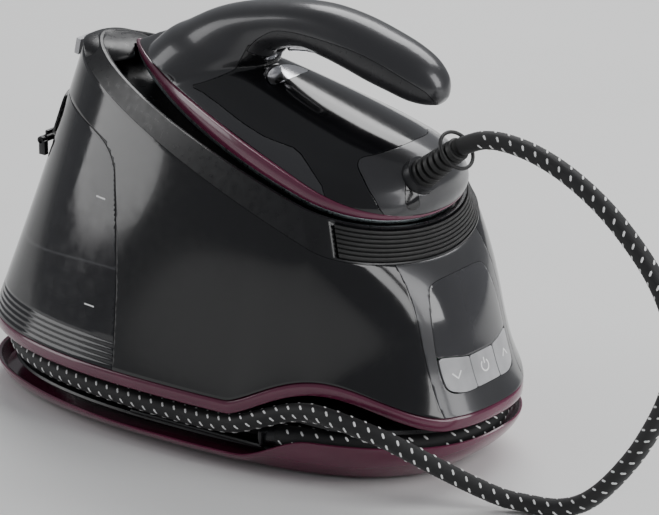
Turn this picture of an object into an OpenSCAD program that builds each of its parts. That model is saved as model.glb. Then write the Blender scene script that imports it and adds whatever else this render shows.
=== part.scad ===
// Steam generator iron: base station with removable tank, resting iron and steam hose.
// +X is the control-panel end, -X the tank end, +Z is up, and the table top is z = 0.

/* [Base] */
// Half the length of the foot of the body
foot_a = 195; // [190:1:200]
// Half the width of the foot of the body
foot_b = 103; // [98:1:106]
// Height of the top edge of the trim ring
trim_z = 48.7; // [46:0.1:52]
// Height of the trim ring's band
trim_h = 9; // [7:0.5:11]
// How far the trim rises over the hose exit
hump_rise = 23; // [18:1:25]
// Wall thickness of the outer shells
wall = 2.5; // [2:0.1:3]

/* [Deck] */
// Height of the body's top edge above the origin
rim_z = 190.8; // [185:0.1:195]
// Slope of the body's top edge
rim_slope = 0.32; // [0.3:0.01:0.34]
// Half the width of the body's top edge
rim_w = 83; // [80:1:86]
// Half the width of the deck's crest
crest_w = 74.5; // [73:0.5:76]
// Number of ribs on the heel stop
rib_count = 7; // [5:1:9]

/* [Iron] */
// Tilt of the soleplate at rest, in degrees
sole_tilt = 15.53; // [15:0.01:16]
// Length of the soleplate
sole_l = 253.4; // [250:0.1:255]
// Half the width of the soleplate
sole_w = 70; // [66:0.5:71]
// Thickness of the soleplate
sole_t = 3.5; // [3:0.1:4]

/* [Keys] */
// Travel room behind each key
key_gap = 1.6; // [1.4:0.1:2]
// Height of a key along the panel
key_h = 21; // [18:1:22]

/* [Hose] */
// Outside diameter of the steam hose
hose_d = 12; // [11:0.1:13]
// Outside diameter of the sleeve at its start
sleeve_d = 15.4; // [15:0.1:16]

/* [Hidden] */
$fn = 48;

// Number of points round the big lofted outlines
ring_n = 64;
// Exponents of the foot's, tray's and iron's outlines
foot_n = 2.44;
tray_a = 177.7;
tray_b = 87.1;
tray_n = 2.52;
tray_cx = -11.5;
tray_floor_z = 6;
foot_h = 2.5;
// Nose of the sole in the base's frame
nose = [-95.3, 0, 236.2];
deck_gap = 0.3;
rest_gap = 0.2;
trough_depth = 15;
// Direction in which the hose leaves the heel
boot_dir = [0.78, -0.1, 0.62];
boot_at = [144, -17, 195];
// The control panel's own frame: a point on it and its lean from the vertical
panel_at = [184.2, 0, 71.5];
panel_lean = 18;

// ---- General shapes ----

function signed_pow(v, p) = sign(v) * pow(abs(v), p);
function super_pt(a, b, n, t, cx = 0) =
    [cx + a * signed_pow(cos(t), 2 / n), b * signed_pow(sin(t), 2 / n)];
// Egg outline: pointed at xn, widest (half-width w) at xc, blunt at xh
function egg_pt(xn, xc, xh, w, pn, ph, t) = cos(t) < 0
    ? [xc + (xc - xn) * cos(t), w * signed_pow(sin(t), pn)]
    : [xc + (xh - xc) * pow(cos(t), 2 / ph), w * signed_pow(sin(t), 2 / ph)];
function smooth(a, b, x) = let(f = max(0, min(1, (x - a) / (b - a)))) f * f * (3 - 2 * f);
function mix(a, b, f) = a * (1 - f) + b * f;

// Running length of a closed outline, and the outline resampled at n equal steps
function runs(p, i = 0, acc = [0]) = i >= len(p) ? acc
    : runs(p, i + 1, concat(acc, [acc[i] + norm(p[(i + 1) % len(p)] - p[i])]));
function resample(p, n) =
    let(s = runs(p), c = concat(p, [p[0]]), total = s[len(p)],
        xs = [for (i = [0:len(p)]) [s[i], c[i][0]]],
        ys = [for (i = [0:len(p)]) [s[i], c[i][1]]])
    [for (k = [0:n - 1]) [lookup(total * k / n, xs), lookup(total * k / n, ys)]];
// An outline moved inward by d along its own normals
function inset(p, d) = let(n = len(p)) [for (i = [0:n - 1])
    let(t = p[(i + 1) % n] - p[(i + n - 1) % n], l = max(norm([t[0], t[1]]), 0.001))
    [p[i][0] - d * t[1] / l, p[i][1] + d * t[0] / l]];
function lift(p, z) = [for (q = p) [q[0], q[1], z]];

function quad(a, b, c, d) = [[a, b, c], [a, c, d]];
// Closed solid through a stack of rings, listed bottom to top, each counter-clockwise
module skin(rings) {
    n = len(rings[0]);
    m = len(rings);
    sides = [for (i = [0:m - 2], j = [0:n - 1]) each quad(i * n + j, (i + 1) * n + j,
        (i + 1) * n + (j + 1) % n, i * n + (j + 1) % n)];
    caps = [[for (j = [0:n - 1]) j], [for (j = [n - 1:-1:0]) (m - 1) * n + j]];
    polyhedron(points = [for (r = rings) each r], faces = concat(sides, caps));
}
// Closed band through a ring of profiles, each listed outer-bottom, outer-top, inner-top ...
module band(profiles) {
    n = len(profiles);
    m = len(profiles[0]);
    polyhedron(points = [for (p = profiles) each p],
        faces = [for (i = [0:n - 1], j = [0:m - 1]) each quad(i * m + j, i * m + (j + 1) % m,
            ((i + 1) % n) * m + (j + 1) % m, ((i + 1) % n) * m + j)]);
}
// Rows of a band from stacked rings: outer rings upward, then inner rings downward
function profiles_of(rings) = [for (j = [0:len(rings[0]) - 1]) [for (r = rings) r[j]]];

// Keeps a piece made only of lofted surfaces as one mesh
module as_mesh() {
    resize([0, 0, 0])
        children();
}

// Places children with their +Z along dir
module along(at, dir) {
    translate(at)
        rotate([0, acos(dir[2] / norm(dir)), atan2(dir[1], dir[0])])
            children();
}
// The iron's own frame: x back along the sole from its nose, z square to the sole
module iron_frame() {
    translate(nose)
        rotate([0, sole_tilt, 0])
            children();
}
// The control panel's own frame: x up the panel, y across, z outward
module panel_frame() {
    translate(panel_at)
        rotate([0, 90 - panel_lean, 0])
            rotate([0, 0, 180])
                children();
}

// ---- Outlines of the base ----

function foot_ring(a = foot_a, b = foot_b) =
    [for (i = [0:ring_n - 1]) super_pt(a, b, foot_n, 360 * i / ring_n)];
function even_foot(a = foot_a, b = foot_b) =
    resample([for (i = [0:179]) super_pt(a, b, foot_n, 2 * i)], ring_n);
function hump(x) = hump_rise * pow(max(0, cos(max(-90, min(90, 180 * (x - 119) / 132)))), 1.3);
function trim_top(x) = trim_z + hump(x);
function lip_z(x) = 13 + 3 * (1 - smooth(-150, -20, x)) + 17 * smooth(58, 112, x);
function rim_at(x) = rim_z - rim_slope * x;
function rim_pt(t) = egg_pt(-134.7, 106, 154.8, rim_w, 1.1, 1.85, t);
function even_rim() = resample([for (i = [0:179]) rim_pt(2 * i)], ring_n);
function crest_pt(t) = egg_pt(-122, 90, 150.5, crest_w, 1.2, 2, t);
// Height of the plane square to the iron's frame at distance d under the band
function sole_at(x, d = 0) = 209.67 - 0.278 * x - d / cos(sole_tilt);

// Body surface: level s runs from 0 at the trim to 1 at the rim
// Share of the way from foot to rim: straight at the back, bowed at the front
function reach(s, x) =
    s + smooth(-120, 180, x) * (0.5 * s * pow(1 - s, 4) - 1.2 * pow(s, 3) * (1 - s));
function body_ring(s, d) =
    let(lo = even_foot(), hi = even_rim())
    let(flat = [for (i = [0:ring_n - 1])
        mix(lo[i], hi[i], reach(s, lo[i][0]))])
    let(moved = inset(flat, d))
    [for (i = [0:ring_n - 1])
        [moved[i][0], moved[i][1], mix(trim_top(lo[i][0]) + 0.6, rim_at(hi[i][0]), s)]];
levels = [0, 0.12, 0.25, 0.4, 0.55, 0.7, 0.85, 1];
module body_wall(d_out, d_in) {
    band(profiles_of(concat([for (s = levels) body_ring(s, d_out)],
        [for (i = [len(levels) - 1:-1:0]) body_ring(levels[i], d_in)])));
}

// Side view of the tank's seam, from the foot up and over to the back
seam = [[-37, 30], [-44, 100], [-52, 140], [-57, 160], [-63, 176], [-78, 188], [-108, 195.5],
    [-131, 200], [-260, 208]];
// Prism behind the seam, pulled back by d
module tank_zone(d) {
    rotate([90, 0, 0])
        linear_extrude(260, center = true)
            polygon(concat([for (p = seam) [p[0] - d, p[1] - d * 0.8]], [[-260, 30]]));
}
module panel_zone(half) {
    translate([95, -half, 0])
        cube([150, 2 * half, 260]);
}
// Rounded prism square to the control panel, from lo to hi (up the panel, across)
module panel_prism(lo, hi, r, depth = [-14, 14]) {
    panel_frame()
        translate([0, 0, depth[0]])
            linear_extrude(depth[1] - depth[0])
                hull()
                    for (x = [lo[0] + r, hi[0] - r], y = [lo[1] + r, hi[1] - r])
                        translate([x, y])
                            circle(r, $fn = 24);
}

// ---- Base parts ----

function tray_ring(f, d, lift_z = 0) = [for (i = [0:ring_n - 1])
    let(t = 360 * i / ring_n, lo = super_pt(tray_a, tray_b, tray_n, t, tray_cx),
        hi = super_pt(foot_a - 0.5, foot_b - 0.5, foot_n, t),
        p = mix(lo, hi, 1 - pow(1 - f, 1.6)), k = 1 - d / 120)
    [p[0] * k, p[1] * k, max(lift_z, mix(foot_h, lip_z(hi[0]), f))]];
tray_screws = [[-110, 45], [-110, -45], [95, 45], [95, -45]];
module base_tray() color([0.36, 0.12, 0.22]) {
    difference() {
        skin([tray_ring(0, 0), tray_ring(0.35, 0), tray_ring(0.7, 0), tray_ring(1, 0),
            tray_ring(1, 2.5), tray_ring(0.7, 2.8, tray_floor_z),
            lift([for (q = tray_ring(0.3, 3)) [q[0], q[1]]], tray_floor_z)]);
        for (p = tray_screws)
            translate([p[0], p[1], 0])
                cylinder(h = 20, r = 2.2);
    }
}

module rubber_feet() color([0.1, 0.1, 0.1]) {
    for (x = [-120, 105], y = [-58, 58])
        translate([x, y, 0])
            cylinder(h = foot_h, r = 9);
}

module base_screws() color("silver") {
    for (p = tray_screws)
        translate([p[0], p[1], 0]) {
            translate([0, 0, 0.6])
                cylinder(h = foot_h - 0.7, r = 3.8);
            cylinder(h = 17, r = 2);
        }
}

module plate_shape(a, b, cx = 0) {
    translate([cx, 0])
        polygon(foot_ring(a, b));
}
module groove_core() color([0.07, 0.07, 0.08]) {
    difference() {
        union() {
            translate([-8, 0, tray_floor_z + 0.1])
                linear_extrude(8)
                    plate_shape(160, 77);
            translate([0, 0, 14])
                linear_extrude(3)
                    plate_shape(180, 90, -2);
            translate([0, 0, 17])
                linear_extrude(21)
                    plate_shape(172, 80);
            translate([0, 0, 38])
                linear_extrude(3)
                    plate_shape(189, 97);
        }
        translate([-8, 0, 17])
            linear_extrude(21)
                plate_shape(160, 74);
        for (p = tray_screws)
            translate([p[0], p[1], 0])
                cylinder(h = 17.1, r = 2);
        translate([50, -110, 37])
            cube([130, 28.5, 5]);
    }
}

module trim_ring() color([0.4, 0.14, 0.25]) {
    band([for (i = [0:ring_n - 1])
        let(p = even_foot()[i], q = even_foot(foot_a - 4, foot_b - 4)[i], z = trim_top(p[0]))
        [[p[0] - sign(p[0]), p[1] * 0.99, z - trim_h], [p[0], p[1], z - trim_h * 0.6],
            [p[0], p[1], z - 1.5], [p[0] * 0.994, p[1] * 0.988, z],
            [q[0], q[1], z], [q[0], q[1], z - trim_h]]]);
}

module body_shell() color([0.16, 0.16, 0.17]) {
    difference() {
        body_wall(0, wall);
        tank_zone(-0.6);
        panel_zone(44.8);
        translate([20, 80, 66])
            rotate([-90, 0, 0])
                cylinder(h = 40, r = 7.3);
    }
}

key_w = 25.4;
key_low = -10.5;
module key_prism(i, grow, depth = [-14, 14]) {
    panel_prism([key_low - grow, (i - 0.5) * key_w + 0.35 - grow],
        [key_low + key_h + abs(i) * 3 + grow, (i + 0.5) * key_w - 0.35 + grow], 3, depth);
}
window_lo = [15.5, -36];
window_hi = [62, 36];
module front_panel() color([0.42, 0.42, 0.44]) {
    difference() {
        intersection() {
            body_wall(0, wall);
            panel_zone(44.5);
        }
        for (i = [-1:1])
            key_prism(i, 0.35);
        panel_prism(window_lo, window_hi, 8);
    }
}
module control_window() color([0.2, 0.2, 0.22]) {
    intersection() {
        body_wall(0.3, wall - 0.4);
        panel_prism(window_lo + [0.2, 0.2], window_hi - [0.2, 0.2], 8);
    }
}
module key(i) {
    intersection() {
        body_wall(-0.5, wall - 0.5);
        key_prism(i, 0);
    }
    panel_frame()
        translate([0, i * key_w, -switch_top - abs(i) * 3 + key_gap - 0.1])
            cylinder(h = 4.6, r = 2);
}
switch_top = 7;
module button_down() color([0.75, 0.75, 0.77]) key(1);
module button_power() color([0.75, 0.75, 0.77]) key(0);
module button_up() color([0.75, 0.75, 0.77]) key(-1);
module control_board() color([0.1, 0.35, 0.2]) {
    panel_frame()
        translate([-14, -34, -17])
            cube([70, 68, 1.6]);
}
module key_switches() color([0.15, 0.15, 0.15]) {
    panel_frame()
        for (i = [-1:1])
            translate([-3, i * key_w - 3, -15.4])
                cube([6, 6, 15.4 - switch_top - abs(i) * 3]);
}

// Deck: bevel from the body's rim up to the crest, then down to the trough
function crest_at(x) = sole_at(x, 3.5);
function bevel_pt(t, f, n) =
    let(a = rim_pt(t), b = crest_pt(t), az = rim_at(a[0]) + deck_gap, bz = crest_at(b[0]),
        p = mix([a[0], a[1], az], [b[0], b[1], bz], f), o = [cos(t), sin(t), 1] * 0.707)
    p + o * n;
stop_half = 70;
function recess(t) = let(u = t > 180 ? t - 360 : t) abs(u) < stop_half ? 2.2 : 0;
function deck_ring(f, n = 0, cut = 0) = [for (i = [0:ring_n - 1])
    let(t = 360 * i / ring_n) bevel_pt(t, f, n - cut * recess(t))];
function flat_ring(d, z_of) = let(p = inset([for (i = [0:ring_n - 1])
    crest_pt(360 * i / ring_n)], d)) [for (q = p) [q[0], q[1], sole_at(q[0], z_of)]];
function under_ring(d, drop) =
    let(rim = [for (i = [0:ring_n - 1]) rim_pt(360 * i / ring_n)], p = inset(rim, d))
    [for (i = [0:ring_n - 1]) [p[i][0], p[i][1], rim_at(rim[i][0]) - drop]];
module deck() color([0.09, 0.09, 0.1]) {
    plug = wall + 2.5;
    skin([under_ring(plug, 7), under_ring(plug, -deck_gap), deck_ring(0), deck_ring(0.06, 0, 1),
        deck_ring(0.95, 0, 1), deck_ring(1), flat_ring(3.5, 4.2), flat_ring(6, trough_depth)]);
}

function iron_pt(t, d = 0) = egg_pt(d, 192.3, sole_l - d, sole_w - d, 1.7, 2.1, t);
function iron_ring(d = 0) = [for (i = [0:ring_n - 1]) iron_pt(360 * i / ring_n, d)];
module iron_rest() color([0.14, 0.14, 0.15]) {
    iron_frame()
        translate([0, 0, 0.1 - trough_depth])
            linear_extrude(trough_depth - 0.1 - sole_t - rest_gap)
                polygon(iron_ring(18));
}

// Heel stop: a ribbed strip laid over the front of the bevel
module heel_stop() color([0.12, 0.12, 0.13]) {
    step = 5;
    low = 0.09;
    high = 0.92;
    pitch = (high - low) / rib_count;
    profile = concat([[low, -1.9], [high, -1.9]],
        [for (k = [rib_count - 1:-1:0]) each [[low + pitch * (k + 0.9), -0.4],
            [low + pitch * (k + 0.65), 1], [low + pitch * (k + 0.35), 1],
            [low + pitch * (k + 0.1), -0.4]]]);
    skin([for (t = [-stop_half + 4:step:stop_half - 4])
        [for (i = [len(profile) - 1:-1:0]) bevel_pt(t, profile[i][0], profile[i][1])]]);
}

module nose_cradle() color([0.1, 0.1, 0.11]) {
    difference() {
        translate([-114, 0, 228.5])
            scale([24, 28, 13.8])
                sphere(r = 1, $fn = 40);
        translate([-160, -40, 190])
            cube([90, 80, 38.2]);
        iron_frame()
            translate([0, 0, -20])
                linear_extrude(60)
                    polygon(iron_ring(-2));
        deck_block();
        translate([-147, -8, 215])
            cube([10.5, 16, 24]);
    }
}
// Space taken by the deck, for parts that sit on it
module deck_block() {
    skin([under_ring(-6, 40), under_ring(-6, -0.4), deck_ring(0, 0.4), deck_ring(1, 0.4),
        flat_ring(6, 3)]);
}

module latch_tab() color([0.75, 0.75, 0.77]) {
    translate([-143.6, -7, 222])
        rotate([0, 12, 0])
            cube([3.6, 14, 11]);
}

// ---- Tank ----

module tank_block(d_out, low) {
    intersection() {
        skin([for (s = levels) body_ring(s, d_out)]);
        tank_zone(d_out);
        translate([-300, -150, low])
            cube([300, 300, 300]);
    }
}
tank_low = 49.2;
module water_tank() color([0.3, 0.3, 0.32, 0.8]) {
    as_mesh() difference() {
        tank_block(0, tank_low);
        tank_block(wall + 0.2, tank_low + wall);
        translate([-120, 0, 40])
            cylinder(h = 20, r = 9);
        translate([-160, 0, 178.5])
            rotate([0, -73, 0])
                cylinder(h = 50, r = 13, center = true);
    }
}
flap_axis = [-164, 0, 160];
module flap_zone() {
    translate([-230, -24, 162])
        cube([120, 48, 34]);
}
module tank_flap() color([0.08, 0.08, 0.09]) {
    intersection() {
        body_wall(-3, -0.8);
        flap_zone();
    }
    difference() {
        hull() {
            translate(flap_axis)
                rotate([90, 0, 0])
                    cylinder(h = 30, r = 3, center = true);
            translate([-162, -15, 160])
                cube([1.8, 30, 6]);
        }
        translate(flap_axis)
            rotate([90, 0, 0])
                cylinder(h = 40, r = 1.55, center = true);
    }
}
module flap_hinge() color([0.08, 0.08, 0.09]) {
    for (s = [-1, 1])
        difference() {
            translate([flap_axis[0] - 2.6, s * 18 - 2, flap_axis[2] - 10])
                cube([8, 4, 12.5]);
            translate(flap_axis)
                rotate([90, 0, 0])
                    cylinder(h = 60, r = 1.5, center = true);
            skin([for (s = levels) body_ring(s, -0.1)]);
        }
}
module flap_pin() color("silver") {
    translate(flap_axis)
        rotate([90, 0, 0])
            cylinder(h = 40, r = 1.5, center = true);
}
module tank_valve() color([0.9, 0.9, 0.88]) {
    translate([-120, 0, tank_low])
        difference() {
            union() {
                cylinder(h = 14, r = 8.8);
                translate([0, 0, wall + 0.1])
                    cylinder(h = 3, r = 12);
            }
            translate([0, 0, -1])
                cylinder(h = 10, r = 4);
        }
}
module valve_seat() color([0.15, 0.15, 0.16]) {
    translate([-120, 0, 41.1])
        difference() {
            cylinder(h = 7.9, r = 14);
            translate([0, 0, 2])
                cylinder(h = 8, r = 4);
        }
}

// ---- Inside the base ----

boiler_at = [62, 0, 52];
boiler_r = 50;
boiler_h = 62;
module boiler() color("silver") {
    translate(boiler_at) {
        cylinder(h = boiler_h, r = boiler_r);
        translate([0, 0, boiler_h])
            cylinder(h = 6, r = 30);
        for (a = [45:90:315])
            rotate([0, 0, a])
                translate([38, 0, -10.9])
                    cylinder(h = 10.9, r = 4);
    }
}
module boiler_heater() color([0.5, 0.4, 0.3]) {
    translate(boiler_at + [0, 0, -4.6])
        rotate_extrude()
            translate([28, 0])
                circle(4.4);
}
module boiler_strap() color([0.55, 0.55, 0.57]) {
    translate(boiler_at + [0, 0, 28])
        difference() {
            cylinder(h = 8, r = boiler_r + 1.5);
            translate([0, 0, -1])
                cylinder(h = 10, r = boiler_r + 0.1);
        }
}
module safety_valve() color([0.8, 0.65, 0.3]) {
    translate(boiler_at + [14, 0, boiler_h + 6.1])
        cylinder(h = 14, r = 7);
}
module water_pump() color([0.2, 0.2, 0.22]) {
    translate([-30, 30, 41.2])
        cube([32, 24, 30]);
    translate([-14, 42, 71.2])
        cylinder(h = 18, r = 9);
}
module steam_valve() color([0.25, 0.3, 0.35]) {
    translate([-20, -66, 41.2]) {
        cube([26, 26, 30]);
        translate([13, 13, 30])
            cylinder(h = 16, r = 8);
    }
}
module water_tube() color([0.8, 0.8, 0.78]) {
    translate([-104, 4, 45.3])
        rotate([0, 90, 24])
            cylinder(h = 76, r = 3.5);
}
module steam_tube() color([0.8, 0.8, 0.78]) {
    translate([8, -50, 50])
        rotate([0, 90, -26])
            cylinder(h = 34, r = 3.5);
}
module power_board() color([0.1, 0.35, 0.2]) {
    translate([6, 58, 41.2])
        cube([80, 1.6, 50]);
    for (x = [14, 40, 62])
        translate([x, 59.7, 50])
            cube([14, 12, 16]);
}
module mains_inlet() color([0.08, 0.08, 0.09]) {
    translate([20, 90, 66])
        rotate([-90, 0, 0])
            difference() {
                cylinder(h = 12.5, r = 7);
                translate([0, 0, -1])
                    cylinder(h = 20, r = 3.6);
            }
}

// ---- Steam hose ----

// Points along the hose's centre line, from the base's gland to the iron's boot
hose_start = [[84, -84, 27], [100, -82, 28], [118, -77, 28], [138, -68, 28],
    [158, -53, 28], [173, -31.5, 28], [181, -8, 28], [180, 14, 28], [172, 36, 28], [156, 54, 28],
    [132, 70, 28], [100, 81, 28], [62, 88, 28], [20, 91, 28], [-30, 90.5, 28], [-76, 85.5, 28],
    [-118, 75, 28], [-150, 58.5, 28], [-172, 36, 28], [-181, 10, 28], [-181, -12, 28],
    [-172, -36, 28], [-150, -58.5, 28], [-118, -75.5, 28], [-76, -86, 28], [-30, -91, 28],
    [20, -92.5, 28], [52, -94, 31], [74, -93.5, 39], [94, -91.5, 47], [112, -91.5, 51.5],
    [130, -91.5, 51.5]];
hose_end = [[150, -88.5, 48], [170, -83, 42], [191, -73.5, 31], [213, -61, 18.5],
    [232, -50.5, 9.5], [247, -43.5, 6.6], [266, -39, 6.8], [282, -36, 12.5], [296, -33.5, 24],
    [310, -31, 41], [323, -29, 61], [337, -28.5, 90], [345, -29, 120], [342, -29.5, 142],
    [332, -29.5, 164], [316, -29, 184], [292, -28, 205], [266, -26.5, 220], [240, -24.5, 229],
    [216, -23.2, 232.5], [197, -22.4, 231], [180.2, -21.6, 223.8]];
hose_route = concat(hose_start, hose_end);
sleeve_points = 5;

// A point at parameter u (in points) along a Catmull-Rom curve through p
function curve(p, u) =
    let(n = len(p) - 1, i = max(0, min(n - 1, floor(u))), f = u - i,
        a = p[max(0, i - 1)], b = p[i], c = p[i + 1], d = p[min(n, i + 2)])
    0.5 * (2 * b + (c - a) * f + (2 * a - 5 * b + 4 * c - d) * f * f
        + (3 * b - a - 3 * c + d) * f * f * f);
function unit(v) = v / max(norm(v), 0.0001);
module tube(p, r, from, to, step, sides = 10) {
    count = ceil((to - from) / step);
    us = [for (i = [0:count]) from + (to - from) * i / count];
    skin([for (u = us)
        let(c = curve(p, u), t = unit(curve(p, u + 0.02) - curve(p, u - 0.02)),
            across = unit(cross([0, 1, 1], t)), up = cross(t, across))
        [for (k = [0:sides - 1]) c + r * (cos(360 * k / sides) * across
            + sin(360 * k / sides) * up)]]);
}
module hose_sleeve() color([0.1, 0.1, 0.1]) {
    tube(hose_route, sleeve_d / 2, 0, sleeve_points, 0.5);
}
module steam_hose() color([0.12, 0.12, 0.12]) {
    tube(hose_route, hose_d / 2, sleeve_points + 0.02, len(hose_route) - 1, 0.68);
}
gland_dir = unit(hose_route[1] - hose_route[0]);
module hose_gland() color([0.08, 0.08, 0.09]) {
    along(hose_route[0] - gland_dir * 12.2, gland_dir)
        cylinder(h = 12, r = sleeve_d / 2 - 0.4);
}
module hose_clip() color([0.05, 0.05, 0.05]) {
    rod = 1.4;
    arm = [-32, -90, 18.7];
    knee = [76, -91.9, 20.2];
    hull()
        for (p = [arm, knee])
            translate(p)
                sphere(rod, $fn = 20);
    translate([76, -84.6, 27.5])
        rotate([0, 90, 0])
            rotate([0, 0, -108])
                rotate_extrude(angle = 63)
                    translate([10.3, 0])
                        circle(rod);
}

// ---- Iron ----

module soleplate() color([0.62, 0.66, 0.68]) {
    iron_frame()
        difference() {
            translate([0, 0, -sole_t])
                linear_extrude(sole_t - 0.1)
                    polygon(iron_ring(1.2));
            for (x = [40:24:208], s = [-1, 1])
                translate([x, s * min(44, 8 + x * 0.17), -10])
                    cylinder(h = 20, r = 1.3);
        }
}
module sole_gasket() color([0.55, 0.2, 0.15]) {
    iron_frame()
        linear_extrude(1.8)
            difference() {
                polygon(iron_ring(4));
                polygon(iron_ring(12));
            }
}
module steam_chamber() color([0.7, 0.7, 0.7]) {
    iron_frame()
        difference() {
            linear_extrude(9)
                polygon(iron_ring(15));
            translate([0, 0, 9])
                heater_path(3.7);
            for (x = [40:24:208], s = [-1, 1])
                translate([x, s * min(44, 8 + x * 0.17), -1])
                    cylinder(h = 5, r = 1.3);
        }
}
// U-shaped heater: two straight legs joined by a bend near the nose
module heater_path(r) {
    for (s = [-1, 1])
        translate([100, s * 26, 0])
            rotate([0, 90, 0])
                cylinder(h = 110, r = r);
    translate([100, 0, 0])
        rotate([0, 0, 90])
            rotate_extrude(angle = 180)
                translate([26, 0])
                    circle(r);
}
module sole_heater() color([0.35, 0.3, 0.28]) {
    iron_frame()
        translate([0, 0, 9])
            heater_path(3.6);
}
module thermostat() color([0.85, 0.8, 0.7]) {
    iron_frame()
        translate([150, 0, 9.1])
            cylinder(h = 6, r = 9);
}

// Lower body of the iron: [height, nose x, heel x, half-width] of each level
iron_levels = [[0.2, 0, 253.4, 70], [3.5, 1.5, 255, 70.5], [9, 8, 255.6, 68.5],
    [16, 16, 254, 60], [21, 22, 252.5, 50], [27, 28, 248, 38], [31, 33, 243, 28.5],
    [33.6, 38, 236, 19], [35, 45, 229, 9]];
function level_ring(l, d) = [for (i = [0:ring_n - 1])
    let(p = egg_pt(l[1] + d, 192, l[2] - d, l[3] - d, 1.55, 2.1, 360 * i / ring_n))
    [p[0], p[1], l[0] - (l[0] > 30 ? d : 0)]];
module lower_block(d) {
    skin([for (l = iron_levels) level_ring(l, d)]);
}
// Handle sections: [x, z, lean of the section, half-length, half-width]
handle_sections = [[54, 12, 0, 36, 40], [62, 27, 0, 34.5, 33], [72, 37, 0, 34, 27.5],
    [80.8, 47.7, 6, 28.6, 24], [91.7, 57, 18, 22, 21.5], [108.7, 66.6, 36, 17.3, 20],
    [127.4, 74.2, 60, 15.8, 19.5], [146, 78, 86, 17, 19.5], [164.6, 79.4, 92, 17.9, 20],
    [184.2, 79.3, 95, 18.2, 20], [202, 79, 98, 17.6, 19], [217, 77.6, 100, 15.8, 17],
    [228.9, 75.2, 105, 11, 12.5], [235.6, 71.6, 112, 4, 5]];
handle_n = 28;
module handle_sweep(d) {
    skin([for (s = handle_sections)
        let(u = [cos(s[2]), 0, -sin(s[2])], c = [s[0], 0, s[1]])
        [for (k = [0:handle_n - 1])
            let(p = super_pt(max(s[3] - d, 1), max(s[4] - d, 1), 2.2, 360 * k / handle_n))
            c + p[0] * u + [0, p[1], 0]]]);
}
module iron_wall() {
    difference() {
        union() {
            lower_block(0);
            handle_sweep(0);
        }
        lower_block(wall);
        handle_sweep(wall);
    }
}
// Prism across the iron over a side-view polygon
module side_zone(p) {
    rotate([90, 0, 0])
        linear_extrude(180, center = true)
            polygon(p);
}
module offset_zone(p, d) {
    rotate([90, 0, 0])
        linear_extrude(180, center = true)
            offset(delta = d)
                polygon(p);
}
function band_top(x) = 3 + 8 * pow(max(0, sin(180 * max(0, min(253, x)) / 253)), 0.8);
band_line = [for (x = [-20:13:280]) [x, band_top(x)]];
module under_band(gap) {
    side_zone(concat([[-30, -20]], [for (p = band_line) p + [0, gap]], [[290, -20]]));
}
// Side views of the iron's covers
grip_zone = [[93, 30], [95, 39], [99, 52], [105.5, 61], [112, 67.5], [119, 71], [132, 75],
    [156, 80], [174, 83], [192, 83.5], [209, 82], [224, 79.5], [231, 76.5], [235, 66], [238, 56],
    [238, 30]];
saddle_zone = [[76, 15], [80.5, 19], [89, 26.7], [93, 31], [95, 39], [99, 52], [222.5, 52],
    [222.5, 36], [215.5, 30.8], [205, 26], [224.5, 18.8], [238.4, 10], [243, 0], [214, 0],
    [206.5, 10.8], [189.7, 16], [171.3, 19.7], [158, 18.3], [143, 16.8], [90, 16.6]];
heel_zone = [[243, 0], [238.4, 10], [224.5, 18.8], [205, 26], [215.5, 30.8], [222.5, 36],
    [222.5, 52], [290, 52], [290, 0]];
collar_zone = [[105, 40], [112, 47], [124, 50], [124, 34], [112, 33]];
trigger_slot = [[110, 44], [149.6, 54], [149.6, 72], [110, 70]];
module trigger_room(half) {
    rotate([90, 0, 0])
        linear_extrude(2 * half, center = true)
            polygon(trigger_slot);
}

module iron_band() color([0.45, 0.16, 0.28]) {
    iron_frame()
        band([for (i = [0:ring_n - 1])
            let(o = iron_ring(0)[i], q = iron_ring(3)[i], h = band_top(o[0]), m = iron_ring(-0.9)[i])
            [[o[0], o[1], 0.1], [m[0], m[1], h * 0.5], [o[0], o[1], h],
                [q[0], q[1], h], [q[0], q[1], 2]]]);
}
module iron_shell() color([0.5, 0.5, 0.52]) {
    iron_frame()
        difference() {
            iron_wall();
            under_band(0.3);
            side_zone(saddle_zone);
            offset_zone(heel_zone, 0.05);
            offset_zone(grip_zone, 0.05);
            trigger_room(7);
        }
}
module saddle_cover() color([0.06, 0.06, 0.07]) {
    iron_frame()
        difference() {
            intersection() {
                difference() {
                    lower_block(0);
                    lower_block(wall);
                }
                offset_zone(saddle_zone, -0.3);
            }
            handle_sweep(-0.3);
            under_band(0.3);
        }
}
module handle_grip() color([0.2, 0.2, 0.21]) {
    iron_frame()
        difference() {
            intersection() {
                difference() {
                    handle_sweep(0);
                    handle_sweep(wall);
                }
                offset_zone(grip_zone, -0.3);
            }
            side_zone(collar_zone);
            trigger_room(7);
        }
}
module heel_cover() color([0.55, 0.55, 0.57]) {
    difference() {
        iron_frame()
            intersection() {
                difference() {
                    lower_block(0);
                    lower_block(wall);
                }
                offset_zone(heel_zone, -0.3);
            }
        iron_frame()
            under_band(0.3);
        along(boot_at, boot_dir)
            cylinder(h = 60, r = 12.2, center = true);
    }
}
module grip_collar() color([0.85, 0.85, 0.87]) {
    iron_frame()
        intersection() {
            difference() {
                handle_sweep(0);
                handle_sweep(wall);
            }
            offset_zone(collar_zone, -0.3);
        }
}
module iron_screws() color("silver") {
    iron_frame()
        for (p = [[60, 0], [196, 14], [196, -14]])
            translate([p[0], p[1], 9.1]) {
                cylinder(h = 8, r = 1.8);
                translate([0, 0, 8])
                    cylinder(h = 2, r = 3.4);
            }
}

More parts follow.
